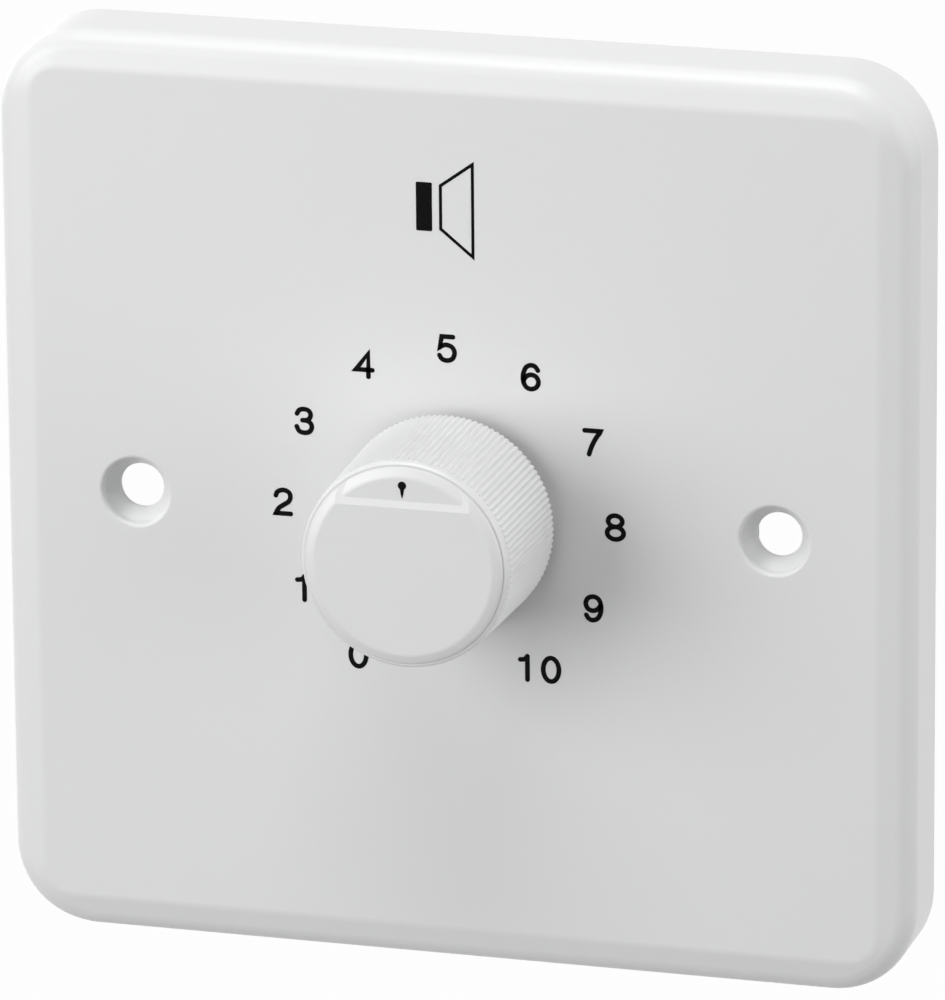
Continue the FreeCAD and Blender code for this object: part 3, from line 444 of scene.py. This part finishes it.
ink_front = PLATE_FRONT - INK_HEIGHT
for value in range(11):
    turn = math.radians(DIAL_STEP * value + DIAL_START)
    nudge = NUDGES.get(value, (0, 0))
    x = DIAL_CENTRE[0] + DIAL_RADIUS * math.sin(turn) + nudge[0]
    z = DIAL_CENTRE[1] + DIAL_RADIUS * math.cos(turn) + nudge[1]
    drawn = bmesh.new()
    write(drawn, str(value), x, z, ink_front, PLATE_FRONT)
    piece("dial_number_%d" % value, drawn, INK, "wall_unit")

drawn = bmesh.new()
panel(drawn, rounded_box(-3.10, -1.60, 26.70, 31.24, 0.12), ink_front, PLATE_FRONT)
horn = [(-0.80, 31.00), (2.20, 33.17), (2.20, 24.53), (-0.80, 26.98), (-0.80, 31.00)]
ribbon(drawn, horn, FINE_STROKE, ink_front, PLATE_FRONT)
piece("loudspeaker_symbol", drawn, INK, "wall_unit")

POINTER_HEAD = 0.39
POINTER_CENTRE = 7.58
turns = [math.radians(angle) for angle in range(-150, 151, 20)]
pointer = [(POINTER_HEAD * math.sin(t), POINTER_CENTRE + POINTER_HEAD * math.cos(t)) for t in turns]
pointer += [(0.12, 6.75), (0.03, 6.42), (-0.03, 6.42), (-0.12, 6.75)]
drawn = bmesh.new()
panel(drawn, pointer, CAP_FLOOR - INK_HEIGHT, CAP_FLOOR)
piece("knob_pointer", drawn, INK, "knob_spindle")


# Lacquered copper tracks on the back of the board, each given as points along its middle

TRACK_WIDTH = 0.8
TRACK_HEIGHT = 0.04
TRACK_LAYER = 0.002
STUD_CIRCLE = 10.5
COMMON_LEAD = (0.0, -4.2)
TERMINAL_TOP = -20.6


def stud(angle):
    """Place of a contact stud on the board, by its angle from the top."""
    return STUD_CIRCLE * math.sin(math.radians(angle)), STUD_CIRCLE * math.cos(math.radians(angle))


right_hand = [
    [stud(105), (stud(105)[0], 1.36), (7.5, 4.0)],
    [stud(135), (9.4, -9.4), (14.2, -9.4), (18.6, -5.0), (18.6, 5.4), (17.4, 6.6), (5.1, 6.6), (2.5, 4.0)],
    [stud(165), (2.72, -12.1), (4.52, -13.9), (13.9, -13.9), (20.4, -7.4), (20.4, 12.2), (18.6, 14.0), (4.5, 14.0),
     (2.5, 16.0), (2.5, 24.0)],
]
line_feed = [(16.4, -17.0), (22.2, -11.2), (22.2, 19.8), (20.4, 21.6), (9.9, 21.6), (7.5, 24.0)]
tracks = right_hand + [[(-x, z) for x, z in path] for path in right_hand]
tracks += [
    [COMMON_LEAD, (0.0, -16.6), (2.54, -19.14), (2.54, TERMINAL_TOP)],
    [(7.62, TERMINAL_TOP), (7.62, -18.8), (9.4, -17.0)] + line_feed,
    [(-2.54, TERMINAL_TOP), (-2.54, -19.14), (-4.68, -17.0)] + [(-x, z) for x, z in line_feed],
    [(-7.62, TERMINAL_TOP), (-7.62, -17.0)],
]
drawn = bmesh.new()
for layer, path in enumerate(tracks):
    ribbon(drawn, path, TRACK_WIDTH, BOARD_BACK + TRACK_HEIGHT + TRACK_LAYER * (layer % 3), BOARD_BACK)
piece("board_tracks", drawn, TRACK, "wall_unit")


# Floor, backdrop and world

def shows_white(tree, shader):
    """Gives a factor of one for camera, glossy and transmission rays, for mixing in plain white where rays look at
    the background, so that it frames the part without lighting it.
    """
    path = tree.nodes.new("ShaderNodeLightPath")
    first = tree.nodes.new("ShaderNodeMath")
    first.operation = "MAXIMUM"
    tree.links.new(path.outputs["Is Camera Ray"], first.inputs[0])
    tree.links.new(path.outputs["Is Glossy Ray"], first.inputs[1])
    second = tree.nodes.new("ShaderNodeMath")
    second.operation = "MAXIMUM"
    tree.links.new(first.outputs[0], second.inputs[0])
    tree.links.new(path.outputs["Is Transmission Ray"], second.inputs[1])
    return second.outputs[0]


floor_mesh = bmesh.new()
bmesh.ops.create_grid(floor_mesh, x_segments=1, y_segments=1, size=FLOOR_SIZE / 2 * MM)
floor_data = bpy.data.meshes.new("floor")
floor_mesh.to_mesh(floor_data)
floor_mesh.free()
floor = bpy.data.objects.new("floor", floor_data)
floor.location = (0, 0, FLOOR_LEVEL * MM)
bpy.context.scene.collection.objects.link(floor)
floor_finish = bpy.data.materials.new("pale_floor")
floor_finish.use_nodes = True
tree = floor_finish.node_tree
surface = tree.nodes["Principled BSDF"]
surface.inputs["Base Color"].default_value = (FLOOR_GREY, FLOOR_GREY, FLOOR_GREY, 1.0)
surface.inputs["Roughness"].default_value = 0.8
glow = tree.nodes.new("ShaderNodeEmission")
glow.inputs["Color"].default_value = (1.0, 1.0, 1.0, 1.0)
glow.inputs["Strength"].default_value = 1.0
share = tree.nodes.new("ShaderNodeMath")
share.operation = "MULTIPLY"
share.inputs[1].default_value = FLOOR_WHITE_SHARE
tree.links.new(shows_white(tree, surface), share.inputs[0])
mixed = tree.nodes.new("ShaderNodeMixShader")
tree.links.new(share.outputs[0], mixed.inputs[0])
tree.links.new(surface.outputs[0], mixed.inputs[1])
tree.links.new(glow.outputs[0], mixed.inputs[2])
tree.links.new(mixed.outputs[0], tree.nodes["Material Output"].inputs["Surface"])
floor_data.materials.append(floor_finish)

world = bpy.data.worlds.new("studio")
bpy.context.scene.world = world
world.use_nodes = True
tree = world.node_tree
ambient = tree.nodes["Background"]
ambient.inputs["Color"].default_value = (1.0, 1.0, 1.0, 1.0)
ambient.inputs["Strength"].default_value = AMBIENT_STRENGTH
seen = tree.nodes.new("ShaderNodeBackground")
seen.inputs["Color"].default_value = (1.0, 1.0, 1.0, 1.0)
seen.inputs["Strength"].default_value = 1.0
mixed = tree.nodes.new("ShaderNodeMixShader")
tree.links.new(shows_white(tree, ambient), mixed.inputs[0])
tree.links.new(ambient.outputs[0], mixed.inputs[1])
tree.links.new(seen.outputs[0], mixed.inputs[2])
tree.links.new(mixed.outputs[0], tree.nodes["World Output"].inputs["Surface"])


def softbox(name, azimuth, elevation, distance, size, power):
    """A square area lamp that faces the part, placed by azimuth and elevation in degrees and distance in metres."""
    a, e = math.radians(azimuth), math.radians(elevation)
    back = Vector((math.sin(a) * math.cos(e), -math.cos(a) * math.cos(e), math.sin(e)))
    lamp = bpy.data.lights.new(name, "AREA")
    lamp.shape = "SQUARE"
    lamp.size = size
    lamp.energy = power
    made = bpy.data.objects.new(name, lamp)
    made.location = back * distance
    made.rotation_mode = "QUATERNION"
    made.rotation_quaternion = back.to_track_quat("Z", "Y")
    bpy.context.scene.collection.objects.link(made)


for name, placing in SOFTBOXES.items():
    softbox(name, *placing)


# Camera

def make_camera():
    """Camera that looks at the part from the photograph's angle."""
    a, e, r = (math.radians(v) for v in (CAMERA_AZIMUTH, CAMERA_ELEVATION, CAMERA_ROLL))
    back = Vector((math.sin(a) * math.cos(e), -math.cos(a) * math.cos(e), math.sin(e)))
    level = (-back).cross(Vector((0, 0, 1))).normalized()
    rise = level.cross(-back)
    right = math.cos(r) * level + math.sin(r) * rise
    up = -math.sin(r) * level + math.cos(r) * rise
    place = (back * CAMERA_DISTANCE + right * CAMERA_OFFSET[0] + up * CAMERA_OFFSET[1]) * MM
    data = bpy.data.cameras.new("camera")
    data.sensor_width = CAMERA_SENSOR
    data.lens = CAMERA_LENS
    data.clip_start = 0.05
    data.clip_end = 50.0
    made = bpy.data.objects.new("camera", data)
    made.matrix_world = Matrix((right, up, back)).transposed().to_4x4()
    made.location = place
    bpy.context.scene.collection.objects.link(made)
    bpy.context.scene.camera = made


make_camera()
bpy.context.scene.view_settings.view_transform = "Standard"
